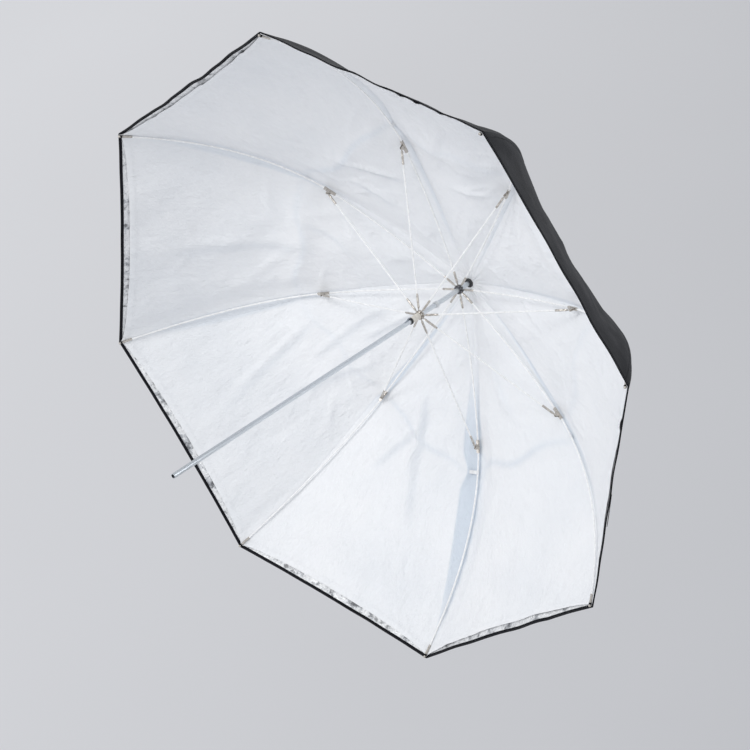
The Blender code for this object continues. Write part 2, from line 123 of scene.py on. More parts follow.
def smooth(x):
    x = np.clip(x, 0, 1)
    return x * x * (3 - 2 * x)


def world(x, s, z, phi):
    """Rib frame (x outwards, z towards the next rib, s station) to the row."""
    x, s, z, phi = np.broadcast_arrays(x, s, z, phi)
    return np.stack([x * np.cos(phi) - z * np.sin(phi), Y_CROWN - s,
                     x * np.sin(phi) + z * np.cos(phi)], -1)


def seam_offset(t):
    return np.where(t <= 1, SEAM_OFF[0] + (SEAM_OFF[1] - SEAM_OFF[0]) * t,
                    SEAM_OFF[1] + (SEAM_OFF[2] - SEAM_OFF[1]) * smooth(t - 1))


# how far each rib's seam runs beside its rod, at its widest, and where
SEAM_SHIFT = {0: (-0.0050, 1.15), 1: (-0.0056, 1.15), 2: (-0.0041, 1.15),
              3: (0.0150, 1.35), 4: (0.0140, 1.40), 5: (-0.0115, 1.10),
              6: (-0.0330, 1.08), 7: (-0.0100, 1.15)}
# where the slack cloth stands up as a ridge along the seam: height, middle,
# length along the rib, and how far it reaches to each side
RIDGE = {6: (0.0120, 1.26, 0.46, 0.042, 0.034), 5: (0.0055, 0.75, 0.30, 0.032, 0.016),
         7: (0.0050, 0.80, 0.30, 0.016, 0.030), 3: (0.0036, 1.35, 0.35, 0.016, 0.030),
         4: (0.0036, 1.35, 0.35, 0.016, 0.030)}
# painted shade: where the white cloth stands away from the lining its colour is tinted cooler and darker;
# strength, middle and length along the rib, margin beside the strip
SHADE = {6: (1.0, 1.22, 0.62, 0.004), 5: (0.85, 0.62, 0.42, 0.004),
         7: (0.70, 0.80, 0.55, 0.005), 3: (0.42, 1.35, 0.50, 0.004),
         4: (0.42, 1.35, 0.50, 0.004), 0: (0.35, 0.7, 0.5, 0.005),
         1: (0.35, 0.7, 0.5, 0.005), 2: (0.40, 0.8, 0.5, 0.005)}
TIE_T = [1.085, 1.085, 1.085, 1.085, 1.085, 0.93, 1.085, 1.085]


def ridge(k, t):
    high, at, long = RIDGE.get(k % N, (0.0, 1.0, 1.0, 1.0, 1.0))[:3]
    return high * np.exp(-((t - at) / long) ** 2) * smooth((2 - t) / 0.25) * smooth(t / 0.3)


def seam_line(k, t, layer):
    """Seam of rib k in the row frame; layer is metres outside the white cloth."""
    t = np.asarray(t, float)
    r, s, h = rib(np.clip(t, 0, 2))
    off = seam_offset(t) + layer
    # the tie draws the seam in towards the rod
    off = off - 0.0042 * np.exp(-((t - TIE_T[k]) / 0.09) ** 2) * (1 if layer < 0.001 else 0.55)
    if layer < 0.001:
        off = off - ridge(k, t)
    x, st = r + np.sin(h) * off, s - np.cos(h) * off
    hole = t < 0
    x = np.where(hole, 0.0054, x)
    st = np.where(hole, CLOTH_S0 - layer, st)
    return world(x, st, seam_beside(k, t), PHI[k])


def seam_beside(k, t):
    width, peak = SEAM_SHIFT[k]
    spread = np.abs((t - peak) / (0.42 if k != 6 else 0.62))
    z = width * np.exp(-spread ** (2 if k != 6 else 2.6)) * smooth((2 - t) / 0.35) * smooth(t / 0.3)
    return z * (1 - 0.45 * np.exp(-((t - TIE_T[k]) / 0.06) ** 2))


def shade_near(q, t, p):
    """0..1 painted shade between rib q's seam and its rod, at points p."""
    c, sn = math.cos(PHI[q]), math.sin(PHI[q])
    z = -p[..., 0] * sn + p[..., 2] * c
    strong, at, long, margin = SHADE[q]
    side = seam_beside(q, t)
    # seen from the bowl the strip reaches a little past the rod
    a, b = np.minimum(side, 0.0), np.maximum(side, 0.0)
    edge = np.minimum(z - a + margin * 0.3, b + margin - z)
    window = smooth(edge / 0.004 + 0.5)
    return strong * window * np.exp(-((t - at) / long) ** 4) * smooth(t / 0.2) \
        * smooth((2 - t) / 0.15)


# ------------------------------------------------------------------ the cloth
T_APEX = 0.148             # where the apex gathers end
M = 24                     # columns in half a panel
COLS = 0.5 * (np.arange(M + 1) / M) ** 1.22
COLS = np.concatenate([COLS, 1 - COLS[-2::-1]])
HEM_T = 0.968              # where the white hem is turned over
ROWS = np.concatenate([[-0.05], np.linspace(0.0, T_APEX, 9),
                       np.linspace(T_APEX, 1.0, 58)[1:],
                       1 + np.linspace(0, HEM_T - 0.004, 64)[1:],
                       1 + np.array([HEM_T, HEM_T + 0.008, 0.985, 0.996, 1.0])])
I_APEX, I_KNEE = 9, 66
IS_HEM = (ROWS > 1 + HEM_T - 0.001).astype(float)
IS_HEM[-1] = 0.3


def folds_for(panel):
    """Soft creases of one panel: (t, v, direction, half length, width, height),
    with t along the rib, v across the panel 0..1, lengths in metres."""
    rng = np.random.default_rng(4100 + panel)
    out = []
    for _ in range(20):      # small creases that fan in from the outer corners
        side = rng.integers(2)
        t = rng.uniform(1.25, 1.93)
        v = rng.uniform(0.03, 0.36)
        a = math.radians(rng.uniform(8, 52))
        out.append((t, 1 - v if side else v, a if side else -a,
                    rng.uniform(0.014, 0.050), rng.uniform(0.0026, 0.0060),
                    rng.uniform(0.00020, 0.00075)))
    for _ in range(15):      # drawn from the ties
        side = rng.integers(2)
        t = rng.uniform(0.80, 1.30)
        v = rng.uniform(0.04, 0.40)
        a = math.radians(rng.uniform(30, 88))
        out.append((t, 1 - v if side else v, a if side else -a,
                    rng.uniform(0.014, 0.050), rng.uniform(0.0030, 0.0070),
                    rng.uniform(0.00025, 0.0009)))
    for _ in range(16):      # loose ones over the field
        t = rng.uniform(0.3, 1.9)
        v = rng.uniform(0.12, 0.88)
        a = math.radians(rng.normal(0, 38))
        out.append((t, v, a, rng.uniform(0.018, 0.060), rng.uniform(0.0035, 0.0095),
                    rng.uniform(0.0002, 0.0008)))
    for _ in range(9):       # along the white hem
        v = rng.uniform(0.08, 0.92)
        out.append((rng.uniform(1.84, 1.96), v, math.radians(rng.normal(0, 14)),
                    rng.uniform(0.010, 0.028), rng.uniform(0.0028, 0.0055),
                    rng.uniform(0.0003, 0.0009)))
    out += EXTRA.get(panel, [])
    return out


# painted reflection: how much dark reflection is painted into the silver lining in each panel
LINING_PAINTED_REFLECTION = [0.1, 0.1, 0.15, 0.25, 0.85, 0.60, 0.10, 0.1]

# painted shade along the tension line from tie to tie, its strength in each panel
CREASE_SHADE = [0.12, 0.15, 0.40, 0.28, 0.20, 0.40, 0.45, 0.20]

# the creases that stand out on this particular umbrella
EXTRA = {
    # panel k lies between rib k and rib k + 1 (zero-based)
    2: [(0.95, 0.42, 0.55, 0.055, 0.0055, 0.0028), (0.80, 0.60, 0.30, 0.045, 0.006, 0.0018)],
    5: [(1.02, 0.55, 0.20, 0.070, 0.007, 0.0026), (1.16, 0.40, -0.55, 0.050, 0.0065, 0.0022),
        (1.30, 0.62, 0.35, 0.050, 0.008, 0.0018)],
    4: [(0.9, 0.35, 0.10, 0.080, 0.007, 0.0016), (1.35, 0.30, 0.25, 0.090, 0.008, 0.0018),
        (1.15, 0.62, -0.20, 0.075, 0.007, 0.0014), (0.62, 0.5, 0.0, 0.070, 0.006, 0.0014)],
    6: [(1.12, 0.10, -0.25, 0.090, 0.009, 0.0024), (0.7, 0.5, 0.2, 0.055, 0.006, 0.0014)],
    3: [(1.4, 0.5, 0.1, 0.10, 0.011, 0.0016), (0.95, 0.35, -0.4, 0.06, 0.007, 0.0014)],
}


def white_end(v):
    return 1.996 - SCOOP * (4 * v * (1 - v)) ** 0.50


def cover_end(v):
    return 2.0 - 0.010 * 4 * v * (1 - v)


class Panel:
    """The cloth between rib k and rib k + 1 as a grid of points, with unit
    normals towards the bowl and flat coordinates in metres."""

    def __init__(self, k, layer, white):
        j = (k + 1) % N
        v = COLS
        ends = white_end(v) if white else cover_end(v)
        t = np.repeat(ROWS[:, None], len(v), 1)
        t = np.where(t > 1, 1 + (t - 1) * (ends - 1)[None, :], t)
        a, b = seam_line(k, t, layer), seam_line(j, t, layer)
        flat = a + (b - a) * v[None, :, None]
        mid = PHI[k] + STEP / 2
        r, s, h = rib(np.clip(t, 0, 2))
        h = h * np.clip(t / 0.12, 0, 1)
        inward = np.stack([-np.sin(h) * math.cos(mid), -np.cos(h),
                           -np.sin(h) * math.sin(mid)], -1)
        bow = (4 * v * (1 - v))[None, :]
        d = SAG * np.sin(math.pi * np.clip(r / TIP[0], 0, 1) ** 1.3) * bow
        # the line of tension from tie to tie, and the slack outside it
        tie = (TIE_T[k] * (1 - v) + TIE_T[j] * v)[None, :]
        d = d + 0.0042 * np.exp(-np.abs((t - tie) / 0.062) ** 1.5) * (0.35 + 0.65 * bow) \
            * (1.0 if white else 0.8)
        d = d - 0.0016 * np.exp(-((t - tie - 0.20) / 0.10) ** 2) * bow
        if white:
            line = (t - tie) + 0.03 * np.sin(3 * math.pi * v + k)[None, :] * bow
            d = d + 0.0019 * np.exp(-np.abs(line / 0.020) ** 1.3) * bow ** 0.35
        # broad, slow waves
        rng = np.random.default_rng(77 + k)
        y = (v[None, :] - 0.5) * (2 * r * math.tan(HALF))
        rho = 0.31 * t
        wave = np.zeros_like(t)
        for _ in range(7):
            ang = rng.normal(0, 0.8)
            wl = rng.uniform(0.055, 0.16)
            ph = rng.uniform(0, 2 * math.pi)
            wave += rng.uniform(0.4, 1.0) * np.cos(
                2 * math.pi * (rho * math.sin(ang) + y * math.cos(ang)) / wl + ph)
        d = d + 0.00075 * wave * np.sin(math.pi * v)[None, :] ** 0.8 * smooth(t / 0.35)
        # gathers round the apex
        g = np.exp(-np.clip(t, 0, 2) / 0.16) * smooth((t + 0.02) / 0.05)
        d = d + 0.0011 * g * np.sin(2 * math.pi * (3.0 * v[None, :] + 0.13 * k)) \
            * np.sin(math.pi * v)[None, :] ** 0.5
        if white:
            # ridges along the seams fall off into the panel
            y0 = v[None, :] * self.width(a, b)
            y1 = (1 - v)[None, :] * self.width(a, b)
            right = RIDGE.get(k, (0, 0, 1, 0.03, 0.03))[4]
            left = RIDGE.get(j, (0, 0, 1, 0.03, 0.03))[3]
            d = d + ridge(k, t) * ((1 - smooth(y0 / right)) - (1 - v)[None, :])
            d = d + ridge(j, t) * ((1 - smooth(y1 / left)) - v[None, :])
        if white:
            found, sign = folds_for(k), 1.0
        else:
            found, sign = [], -1.0
            for _ in range(12):
                found.append((rng.uniform(0.3, 1.95), rng.uniform(0.1, 0.9),
                              rng.normal(0, 0.7), rng.uniform(0.03, 0.08),
                              rng.uniform(0.005, 0.011), rng.uniform(0.0002, 0.0008)))
        edge = np.sin(math.pi * v)[None, :] ** 0.35
        for ft, fv, fa, fl, fw, fh in found:
            fr = float(rib(np.array([ft]))[0][0])
            dx, dy = rho - 0.31 * ft, y - (fv - 0.5) * 2 * fr * math.tan(HALF)
            along = dx * math.cos(fa) + dy * math.sin(fa)
            across = -dx * math.sin(fa) + dy * math.cos(fa)
            across = across + 1.2 * along ** 2 * math.sin(11 * ft + 5 * fv)
            d = d + sign * (3.0 if white else 1.8) * fh * np.exp(-(across / fw) ** 2) * np.exp(-(along / fl) ** 4) * edge
        self.inward = inward
        self.p = flat + inward * d[..., None]
        for q in (k, j):
            self.keep_off_rod(q, t, layer)
        self.uv = np.stack([y + 0.60 * k, rho], -1)
        # painted shade: cooler, darker strips beside the seams, along the tie-to-tie tension line and beside
        # the listed creases
        shade = np.zeros_like(t)
        if white:
            for q in (k, j):
                shade = np.maximum(shade, shade_near(q, t, self.p))
            near = np.exp(-((line - 0.016) / 0.018) ** 2) * bow ** 0.5
            shade = np.maximum(shade, near * CREASE_SHADE[k])
            # painted shade on one side of each listed crease
            for ft, fv, fa, fl, fw, fh in EXTRA.get(k, []):
                fr = float(rib(np.array([ft]))[0][0])
                dx, dy = rho - 0.31 * ft, y - (fv - 0.5) * 2 * fr * math.tan(HALF)
                along = dx * math.cos(fa) + dy * math.sin(fa)
                across = -dx * math.sin(fa) + dy * math.cos(fa)
                across = across + 1.2 * along ** 2 * math.sin(11 * ft + 5 * fv)
                shade = np.maximum(shade, 120 * fh * np.exp(-((across - fw) / fw) ** 2)
                                   * np.exp(-(along / fl) ** 4))
        else:
            # painted reflection: dark patches in the middle of the lining's panels
            shade = shade + LINING_PAINTED_REFLECTION[k] * np.exp(-((COLS - 0.55) / 0.22) ** 4)
        self.shade = np.clip(shade, 0, 1)
        self.chord = np.linalg.norm(self.p[:, -1] - self.p[:, 0], axis=-1)
        self.find_normals()

    def keep_off_rod(self, q, t, layer):
        """Presses the cloth outwards wherever rib q's rod would come through."""
        c, sn = math.cos(PHI[q]), math.sin(PHI[q])
        x = self.p[..., 0] * c + self.p[..., 2] * sn
        z = -self.p[..., 0] * sn + self.p[..., 2] * c
        st = Y_CROWN - self.p[..., 1]
        r, s, h = rib(np.clip(t, 0, 2))
        off = (x - r) * np.sin(h) - (st - s) * np.cos(h)
        least = np.minimum(0.0046, seam_offset(t) - 0.0003) + layer
        need = least - 14.0 * z * z
        soft = 0.0012
        gap = np.clip((need - off) / soft, -30, 30)
        push = soft * np.log1p(np.exp(gap)) * (np.abs(z) < 0.08) * smooth(t / 0.25) \
            * smooth((1.995 - t) / 0.14)
        # nothing on the seams themselves, so that neighbours still meet
        push = push * smooth(COLS / 0.02) * smooth((1 - COLS) / 0.02)
        self.p[..., 0] += push * np.sin(h) * c
        self.p[..., 2] += push * np.sin(h) * sn
        self.p[..., 1] += push * np.cos(h)

    @staticmethod
    def width(a, b):
        return np.linalg.norm(b - a, axis=-1)

    def find_normals(self):
        n = np.cross(np.gradient(self.p, axis=1), np.gradient(self.p, axis=0))
        n /= np.maximum(np.linalg.norm(n, axis=-1, keepdims=True), 1e-12)
        self.n = np.where(np.sum(n * self.inward, -1, keepdims=True) < 0, -n, n)

    def raised(self):
        """Felled seams and the doubled hem stand a little proud."""
        edge = np.minimum(COLS, 1 - COLS)[None, :] * self.chord[:, None]
        h = np.maximum(0.00075 * (1 - smooth((edge - 0.0042) / 0.0016)),
                       0.00060 * IS_HEM[:, None])
        q = self.shifted(-h)
        q.find_normals()
        return q

    def shifted(self, out):
        """The same grid `out` metres further from the bowl."""
        q = Panel.__new__(Panel)
        q.inward, q.uv, q.chord, q.n = self.inward, self.uv, self.chord, self.n
        q.shade = self.shade
        q.p = self.p - self.n * (out[..., None] if np.ndim(out) else out)
        return q

    def half(self, rows, side, width=None):
        """Half a panel as (points, normals, flat coordinates), columns running
        from the seam outwards. width narrows it to a strip of that many metres,
        a number for each row."""
        sl = slice(0, M + 1) if side > 0 else slice(-1, -M - 2, -1)
        p, n, uv = self.p[rows, sl], self.n[rows, sl], self.uv[rows, sl]
        if width is None:
            return p, n, uv, self.shade[rows, sl]
        v = COLS[:M + 1]
        cols = 9
        out = []
        chord = self.chord[rows]
        for arr in (p, n, uv):
            new = np.empty((arr.shape[0], cols, arr.shape[2]))
            for i in range(arr.shape[0]):
                at = np.linspace(0, min(0.5, width[i] / max(chord[i], 1e-6)), cols)
                for c in range(arr.shape[2]):
                    new[i, :, c] = np.interp(at, v, arr[i, :, c])
            out.append(new)
        return tuple(out)


def mesh_object(name, verts, faces, normals=None, uvs=None, mats=(), face_mats=None):
    me = bpy.data.meshes.new(name)
    me.from_pydata(np.asarray(verts).tolist(), [], np.asarray(faces).tolist()
                   if isinstance(faces, np.ndarray) else faces)
    if uvs is not None:
        me.uv_layers.new(name="cloth").data.foreach_set("uv", np.asarray(uvs).ravel())
    for m in mats:
        me.materials.append(m)
    if face_mats is not None:
        me.polygons.foreach_set("material_index", np.asarray(face_mats, np.int32))
    me.polygons.foreach_set("use_smooth", [True] * len(me.polygons))
    if normals is not None:
        me.normals_split_custom_set(np.asarray(normals).reshape(-1, 3).tolist())
    me.update()
    o = bpy.data.objects.new(name, me)
    SCENE.collection.objects.link(o)
    return o


def sector(name, face, back, mats, back_mat=0, rim_mat=0):
    """Closed thin piece of cloth from ((left, right) halves of the face towards
    the bowl, the same of the face away from it)."""
    def join(pair, what):
        l, r = pair[0][what], pair[1][what]
        return np.concatenate([l[:, ::-1], r[:, 1:]], 1)

    pf, pb = join(face, 0), join(back, 0)
    nr, nc = pf.shape[:2]
    m = nc // 2
    size = nr * nc
    verts = np.concatenate([pf.reshape(-1, 3), pb.reshape(-1, 3)])

    def both(pair, what):
        """Values as seen from the left half and from the right half."""
        a = join(pair, what)
        b = a.copy()
        a[:, m] = pair[0][what][:, 0]
        b[:, m] = pair[1][what][:, 0]
        return a.reshape(size, -1), b.reshape(size, -1)

    nl, nrt = both(face, 1)
    bl, brt = both(back, 1)
    ul, ur = both(face, 2)
    i, j = np.meshgrid(np.arange(nr - 1), np.arange(nc - 1), indexing="ij")
    i, j = i.ravel(), j.ravel()
    quad = np.stack([i * nc + j, i * nc + j + 1, (i + 1) * nc + j + 1, (i + 1) * nc + j], -1)
    left = (j < m)[:, None, None]
    n_front = np.where(left, nl[quad], nrt[quad])
    n_back = -np.where(left, bl[quad], brt[quad])
    u_front = np.where(left, ul[quad], ur[quad])
    ring = [(0, c) for c in range(nc)] + [(r, nc - 1) for r in range(1, nr)] \
        + [(nr - 1, c) for c in range(nc - 2, -1, -1)] + [(r, 0) for r in range(nr - 2, 0, -1)]
    ra = np.array([a * nc + b for a, b in ring])
    rb = np.roll(ra, -1)
    rim = np.stack([ra, ra + size, rb + size, rb], -1)
    edge = verts[rb] - verts[ra]
    across = verts[ra + size] - verts[ra]
    rn = np.cross(edge, across)
    rn /= np.maximum(np.linalg.norm(rn, axis=-1, keepdims=True), 1e-12)
    out = (verts[ra] + verts[rb]) / 2 - pf.reshape(-1, 3).mean(0)
    rn = np.where(np.sum(rn * out, -1, keepdims=True) < 0, -rn, rn)
    n_rim = np.repeat(rn[:, None, :], 4, 1)
    u_rim = np.stack([ul[ra], ul[ra], ul[rb], ul[rb]], 1)
    faces = np.concatenate([quad, quad + size, rim])
    norms = np.concatenate([n_front, n_back, n_rim])
    uvs = np.concatenate([u_front, u_front, u_rim])
    fm = np.concatenate([np.zeros(len(quad)), np.full(len(quad), back_mat),
                         np.full(len(rim), rim_mat)])
    p = verts[faces]
    geo = np.cross(p[:, 2] - p[:, 0], p[:, 3] - p[:, 1])
    turn = np.sum(geo * norms.mean(1), -1) < 0
    faces[turn] = faces[turn][:, ::-1]
    norms[turn] = norms[turn][:, ::-1]
    uvs[turn] = uvs[turn][:, ::-1]
    o = mesh_object(name, verts, faces, norms, uvs, mats, fm)
    # painted shade of the white cloth and painted dark reflection of the lining, stored per point as the
    # 'shade' attribute
    if len(face[0]) > 3:
        tone = join(tuple((h[3][..., None],) for h in face), 0).ravel()
        o.data.attributes.new("shade", "FLOAT", "POINT").data.foreach_set(
            "value", np.concatenate([tone, tone]).astype(np.float32))
    a = np.linalg.norm(np.cross(pf[:-1, 1:] - pf[:-1, :-1], pf[1:, :-1] - pf[:-1, :-1]), axis=-1)
    b = np.linalg.norm(np.cross(pf[:-1, 1:] - pf[1:, 1:], pf[1:, :-1] - pf[1:, 1:]), axis=-1)
    length = float(np.linalg.norm(np.diff(pf[:, m], axis=0), axis=-1).sum())
    wide = max(float(np.linalg.norm(np.diff(pf[q], axis=0), axis=-1).sum()) for q in range(nr))
    o["cut"] = [wide, length, float((a + b).sum() / 2)]
    return o


# ------------------------------------------------------------------ materials
def new_material(name):
    m = bpy.data.materials.new(name)
    m.use_nodes = True
    nt = m.node_tree
    nt.nodes.clear()
    out = nt.nodes.new("ShaderNodeOutputMaterial")
    bsdf = nt.nodes.new("ShaderNodeBsdfPrincipled")
    nt.links.new(bsdf.outputs[0], out.inputs["Surface"])
    return m, nt, bsdf


def noise(nt, vector, scale, detail=4.0, rough=0.55, stretch=None):
    if stretch is not None:
        mp = nt.nodes.new("ShaderNodeMapping")
        mp.inputs["Scale"].default_value = stretch
        nt.links.new(vector, mp.inputs["Vector"])
        vector = mp.outputs[0]
    n = nt.nodes.new("ShaderNodeTexNoise")
    n.inputs["Scale"].default_value = scale
    n.inputs["Detail"].default_value = detail
    n.inputs["Roughness"].default_value = rough
    nt.links.new(vector, n.inputs["Vector"])
    return n.outputs["Fac"]


def ramp(nt, fac, stops):
    r = nt.nodes.new("ShaderNodeValToRGB")
    e = r.color_ramp.elements
    while len(e) < len(stops):
        e.new(0.5)
    for el, (pos, col) in zip(e, stops):
        el.position = pos
        el.color = (*col, 1.0) if len(col) == 3 else col
    nt.links.new(fac, r.inputs[0])
    return r.outputs[0]


def mapped(nt, fac, lo, hi):
    m = nt.nodes.new("ShaderNodeMapRange")
    m.inputs["To Min"].default_value = lo
    m.inputs["To Max"].default_value = hi
    nt.links.new(fac, m.inputs["Value"])
    return m.outputs[0]


def bump(nt, height, strength, distance, normal=None):
    b = nt.nodes.new("ShaderNodeBump")
    b.inputs["Strength"].default_value = strength
    b.inputs["Distance"].default_value = distance
    nt.links.new(height, b.inputs["Height"])
    if normal is not None:
        nt.links.new(normal, b.inputs["Normal"])
    return b.outputs[0]


def coords(nt, kind):
    c = nt.nodes.new("ShaderNodeTexCoord")
    return c.outputs[kind]


def weave(nt, vector, pitch):
    """Fine over-and-under of a plain weave from two wave textures."""
    outs = []
    for axis in ("X", "Y"):
        w = nt.nodes.new("ShaderNodeTexWave")
        w.wave_type = "BANDS"
        w.bands_direction = axis
        w.inputs["Scale"].default_value = 0.314 / pitch
        w.inputs["Distortion"].default_value = 0.35
        w.inputs["Detail"].default_value = 1.0
        nt.links.new(vector, w.inputs["Vector"])
        outs.append(w.outputs["Fac"])
    m = nt.nodes.new("ShaderNodeMath")
    m.operation = "MULTIPLY"
    nt.links.new(outs[0], m.inputs[0])
    nt.links.new(outs[1], m.inputs[1])
    return m.outputs[0]


def white_cloth():
    m, nt, b = new_material("white_nylon")
    uv = coords(nt, "UV")
    tone = noise(nt, uv, 5.0, 5.0, 0.55)
    col = ramp(nt, tone, [(0.30, (0.835, 0.852, 0.880)), (0.70, (0.895, 0.902, 0.920))])
    # painted shade: the 'shade' attribute tints the cloth's colour cooler and darker beside the seams and
    # creases
    at = nt.nodes.new("ShaderNodeAttribute")
    at.attribute_type = "GEOMETRY"
    at.attribute_name = "shade"
    painted_shade_mix = nt.nodes.new("ShaderNodeMix")
    painted_shade_mix.data_type = "RGBA"
    nt.links.new(at.outputs["Fac"], painted_shade_mix.inputs["Factor"])
    nt.links.new(col, painted_shade_mix.inputs[6])
    painted_shade_mix.inputs[7].default_value = (0.655, 0.715, 0.790, 1.0)
    nt.links.new(painted_shade_mix.outputs[2], b.inputs["Base Color"])
    nt.links.new(mapped(nt, noise(nt, uv, 22, 3), 0.42, 0.60), b.inputs["Roughness"])
    b.inputs["Specular IOR Level"].default_value = 0.42
    b.inputs["Sheen Weight"].default_value = 0.12
    b.inputs["Sheen Roughness"].default_value = 0.45
    crush = noise(nt, uv, 16, 6, 0.62, (1.0, 0.55, 1.0))
    n1 = bump(nt, crush, 0.95, 0.0095)
    crush2 = noise(nt, uv, 55, 5, 0.60, (1.3, 0.6, 1.0))
    n2 = bump(nt, crush2, 0.80, 0.0024, n1)
    n3 = bump(nt, weave(nt, uv, 0.00045), 0.20, 0.00006, n2)
    nt.links.new(n3, b.inputs["Normal"])
    return m


def black_cloth():
    m, nt, b = new_material("black_nylon")
    uv = coords(nt, "UV")
    tone = noise(nt, uv, 7.0, 5.0, 0.6)
    col = ramp(nt, tone, [(0.3, (0.0030, 0.0034, 0.0058)), (0.72, (0.0066, 0.0073, 0.0112))])
    nt.links.new(col, b.inputs["Base Color"])
    nt.links.new(mapped(nt, noise(nt, uv, 30, 3), 0.46, 0.62), b.inputs["Roughness"])
    b.inputs["Specular IOR Level"].default_value = 0.12
    b.inputs["Sheen Weight"].default_value = 0.03
    b.inputs["Sheen Roughness"].default_value = 0.35
    crush = noise(nt, uv, 15, 6, 0.6, (1.0, 0.6, 1.0))
    n1 = bump(nt, crush, 0.5, 0.0045)
    n2 = bump(nt, weave(nt, uv, 0.0005), 0.35, 0.00008, n1)
    nt.links.new(n2, b.inputs["Normal"])
    return m


def silver_cloth():
    m, nt, b = new_material("silver_lining")
    uv = coords(nt, "UV")
    crush = noise(nt, uv, 75, 5, 0.65)
    # painted reflection: the crinkle noise paints dark and bright glints into the foil's colour; the same
    # noise also drives the real crinkle bump
    col = ramp(nt, crush, [(0.36, (0.30, 0.305, 0.315)), (0.45, (0.80, 0.81, 0.825)),
                           (0.60, (0.95, 0.955, 0.965))])
    nt.links.new(col, b.inputs["Base Color"])
    # painted reflection: the 'shade' attribute and noise paint dark patches of reflection into the lining's
    # colour
    at = nt.nodes.new("ShaderNodeAttribute")
    at.attribute_type = "GEOMETRY"
    at.attribute_name = "shade"
    lift = nt.nodes.new("ShaderNodeMath")
    lift.operation = "MULTIPLY_ADD"
    nt.links.new(at.outputs["Fac"], lift.inputs[0])
    lift.inputs[1].default_value = -0.13
    nt.links.new(noise(nt, uv, 26, 5, 0.7), lift.inputs[2])
    painted_dark_reflection = ramp(nt, lift.outputs[0], [(0.30, (0.16, 0.165, 0.175)), (0.38, (0.62, 0.63, 0.65)),
                                       (0.44, (1, 1, 1))])
    mul = nt.nodes.new("ShaderNodeMix")
    mul.data_type = "RGBA"
    mul.blend_type = "MULTIPLY"
    mul.inputs["Factor"].default_value = 1.0
    nt.links.new(col, mul.inputs[6])
    nt.links.new(painted_dark_reflection, mul.inputs[7])
    nt.links.new(mul.outputs[2], b.inputs["Base Color"])
    b.inputs["Metallic"].default_value = 0.42
    nt.links.new(mapped(nt, noise(nt, uv, 40, 2), 0.22, 0.40), b.inputs["Roughness"])
    n1 = bump(nt, crush, 0.9, 0.0050)
    n2 = bump(nt, noise(nt, uv, 240, 4, 0.6), 0.7, 0.0010, n1)
    nt.links.new(n2, b.inputs["Normal"])
    return m


def metal(name, colour, rough, wear=0.5, brushed=None, metallic=1.0):
    m, nt, b = new_material(name)
    ob = coords(nt, "Object")
    tone = noise(nt, ob, 260, 4, 0.6)
    lo = tuple(c * (1 - 0.22 * wear) for c in colour)
    hi = tuple(min(1.0, c * (1 + 0.10 * wear)) for c in colour)
    nt.links.new(ramp(nt, tone, [(0.3, lo), (0.7, hi)]), b.inputs["Base Color"])
    b.inputs["Metallic"].default_value = metallic
    streak = noise(nt, ob, 120, 3, 0.6, brushed if brushed else (1, 1, 1))
    nt.links.new(mapped(nt, streak, rough * 0.75, rough * 1.35), b.inputs["Roughness"])
    nt.links.new(bump(nt, streak, 0.10, 0.00015), b.inputs["Normal"])
    return m


def plastic(name, colour, rough, spec=0.5, grain=0.15, transmission=0.0):
    m, nt, b = new_material(name)
    ob = coords(nt, "Object")
    tone = noise(nt, ob, 180, 4, 0.6)
    lo = tuple(c * 0.86 for c in colour)
    hi = tuple(min(1.0, c * 1.08) for c in colour)
    nt.links.new(ramp(nt, tone, [(0.3, lo), (0.7, hi)]), b.inputs["Base Color"])
    nt.links.new(mapped(nt, tone, rough * 0.8, rough * 1.2), b.inputs["Roughness"])
    b.inputs["Specular IOR Level"].default_value = spec
    if transmission:
        b.inputs["Transmission Weight"].default_value = transmission
    nt.links.new(bump(nt, noise(nt, ob, 1500, 3), grain, 0.00012), b.inputs["Normal"])
    return m


MAT_WHITE = white_cloth()
MAT_BLACK = black_cloth()
MAT_SILVER = silver_cloth()
MAT_TUBE = metal("anodised_tube", (0.70, 0.735, 0.765), 0.27, 0.35, (1.0, 0.03, 1.0))
MAT_NICKEL = metal("nickel", (0.60, 0.565, 0.52), 0.26, 0.8)
MAT_HUB = metal("dark_hub", (0.17, 0.17, 0.18), 0.34, 0.8, None, 0.75)
MAT_SPRING = metal("spring_steel", (0.42, 0.46, 0.52), 0.30, 0.6)
MAT_ROD = plastic("white_fibreglass", (0.96, 0.965, 0.968), 0.30, 0.5, 0.05)
MAT_PLASTIC = plastic("black_plastic", (0.026, 0.027, 0.030), 0.42)
MAT_NYLON = plastic("ivory_nylon", (0.74, 0.70, 0.63), 0.42, 0.5, 0.1)
MAT_CLEAR = plastic("frosted_ring", (0.88, 0.90, 0.92), 0.30, 0.5, 0.1, 0.35)
MAT_TAPE = plastic("white_tape", (0.86, 0.865, 0.875), 0.60, 0.3, 0.5)
MAT_CORNER = plastic("black_webbing", (0.009, 0.009, 0.011), 0.62, 0.18, 0.6)

# ------------------------------------------------------------------ cloth build
WHITE_T, COVER_GAP, COVER_T = 0.00035, 0.0016, 0.0005
pieces_by_rib = {}
white_in = [Panel(k, 0.0, True) for k in range(N)]
white_out = [p.shifted(WHITE_T) for p in white_in]
white_in = [p.raised() for p in white_in]
lining = [Panel(k, COVER_GAP, False) for k in range(N)]
outside = [p.shifted(COVER_T) for p in lining]
tape_in = [p.shifted(COVER_T + 0.00008) for p in lining]
tape_out = [p.shifted(COVER_T + 0.00042) for p in lining]
bind_in = [p.shifted(-0.0007) for p in lining]
bind_out = [p.shifted(COVER_T + 0.0007) for p in lining]

A = slice(0, I_APEX + 1)
B = slice(I_APEX, I_KNEE + 1)
C = slice(I_KNEE, len(ROWS))
radius = rib(np.clip(ROWS, 0, 2))[0]


